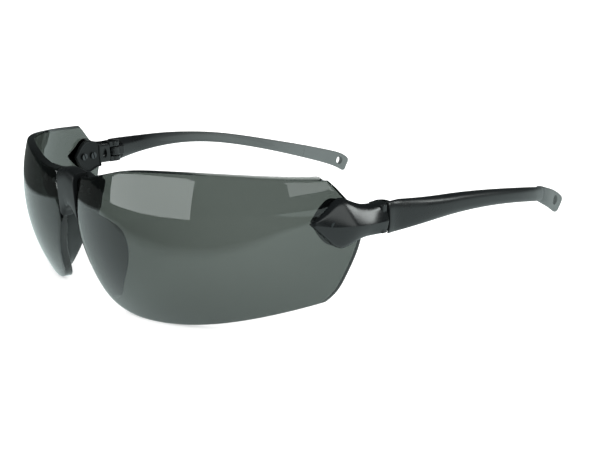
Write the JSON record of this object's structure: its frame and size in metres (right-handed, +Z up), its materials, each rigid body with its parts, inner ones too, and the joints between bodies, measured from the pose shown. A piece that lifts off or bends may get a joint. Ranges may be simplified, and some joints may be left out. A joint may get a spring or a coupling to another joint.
{
  "type": "safety glasses",
  "caption": "Rimless wrap-round safety glasses with grey tinted lenses, a black centre bridge, soft nose pads and folding bowed temples with cord holes.",
  "frame": {"origin": "on the surface the glasses rest on, under the middle of their box", "axes": "+Z up, the wearer looks along -Y, +X is the wearer's left"},
  "size_m": [0.1604, 0.1729, 0.0421],
  "materials": {
    "smoke_lens": "clear polycarbonate with a grey tint, polished",
    "smoke_pad": "soft translucent grey, satin",
    "black_nylon": "moulded black nylon, satin",
    "gloss_black": "black nylon, glossy at the front and satin towards the rear",
    "soft_grey": "soft-touch grey inlay",
    "soft_black": "soft-touch dark grey",
    "steel": "blackened steel"
  },
  "bodies": {
    "front": {"bridge": "black_nylon", "lens_left": "smoke_lens", "lens_right": "smoke_lens", "bridge_rivets_left": "steel", "bridge_rivets_right": "steel", "nose_pad_left": "smoke_pad", "nose_pad_right": "smoke_pad", "endpiece_left": "gloss_black", "endpiece_right": "gloss_black", "clamp_plate_left": "black_nylon", "clamp_plate_right": "black_nylon", "clamp_screws_left": "steel", "clamp_screws_right": "steel", "hinge_screw_left": "steel", "hinge_screw_right": "steel"},
    "temple_left": {"temple_arm_left": "gloss_black", "temple_grip_left": "soft_grey", "temple_tip_left": "soft_black"},
    "temple_right": {"temple_arm_right": "gloss_black", "temple_grip_right": "soft_grey", "temple_tip_right": "soft_black"}
  },
  "joints": [
    {"name": "fold_left", "type": "hinge", "parent": "front", "child": "temple_left", "pos_m": [0.0696, -0.0315, 0.02725], "axis": [0, 0, 1], "range_deg": [0, 90]},
    {"name": "fold_right", "type": "hinge", "parent": "front", "child": "temple_right", "pos_m": [-0.0696, -0.0315, 0.02725], "axis": [0, 0, -1], "range_deg": [0, 80]}
  ]
}
